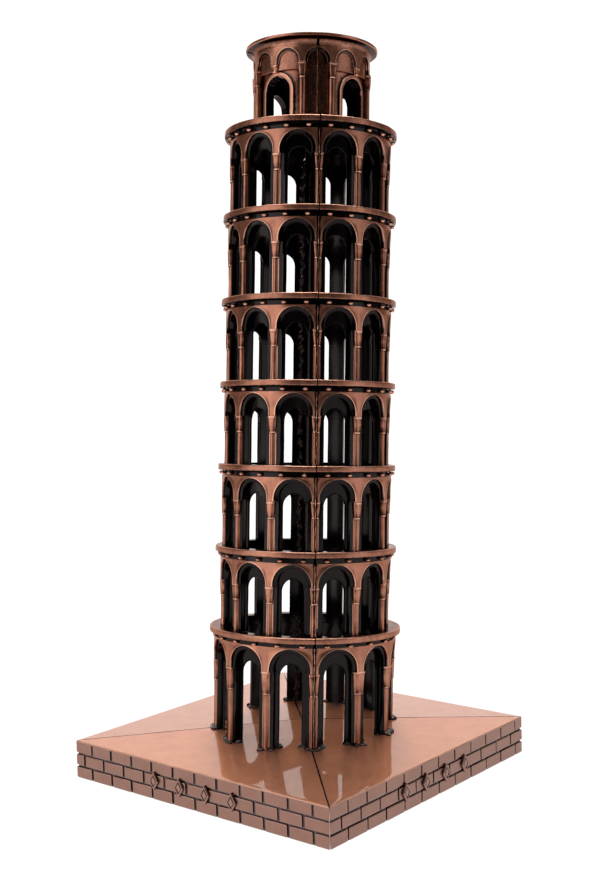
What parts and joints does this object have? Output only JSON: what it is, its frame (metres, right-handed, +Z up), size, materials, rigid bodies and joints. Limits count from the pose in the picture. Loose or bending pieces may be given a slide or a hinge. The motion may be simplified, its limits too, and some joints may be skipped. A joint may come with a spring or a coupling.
{
  "type": "leaning tower ornament",
  "caption": "Miniature leaning round tower with see-through arcades on every storey, on a square base with brick-patterned sides and a low pyramid top.",
  "frame": {"origin": "centre of the base's underside", "axes": "+Z up; front faces -Y, right faces +X; the tower leans towards +Y and slightly towards -X"},
  "size_m": [0.0792, 0.0792, 0.1759],
  "materials": {
    "antique_copper": "antique copper plating, dark in the recesses and rubbed bright on the edges",
    "polished_copper": "satin to mirror copper plating",
    "solder": "glossy dark plated solder"
  },
  "bodies": {
    "root": {"base_right": "polished_copper", "base_back": "polished_copper", "base_left": "polished_copper", "base_front": "polished_copper", "ground_storey_right": "antique_copper", "ground_storey_back": "antique_copper", "ground_storey_left": "antique_copper", "ground_storey_front": "antique_copper", "galleries_right": "antique_copper", "galleries_back": "antique_copper", "galleries_left": "antique_copper", "galleries_front": "antique_copper", "belfry_right": "antique_copper", "belfry_back": "antique_copper", "belfry_left": "antique_copper", "belfry_front": "antique_copper", "foot_solder_01": "solder", "foot_solder_02": "solder", "foot_solder_03": "solder", "foot_solder_04": "solder", "foot_solder_05": "solder", "foot_solder_06": "solder", "foot_solder_07": "solder", "foot_solder_08": "solder", "foot_solder_09": "solder", "foot_solder_10": "solder", "foot_solder_11": "solder", "foot_solder_12": "solder", "seam_solder_right_back": "solder", "seam_solder_back_left": "solder", "seam_solder_left_front": "solder", "seam_solder_front_right": "solder", "hip_solder_right_back": "solder", "hip_solder_back_left": "solder", "hip_solder_left_front": "solder", "hip_solder_front_right": "solder"}
  },
  "joints": []
}
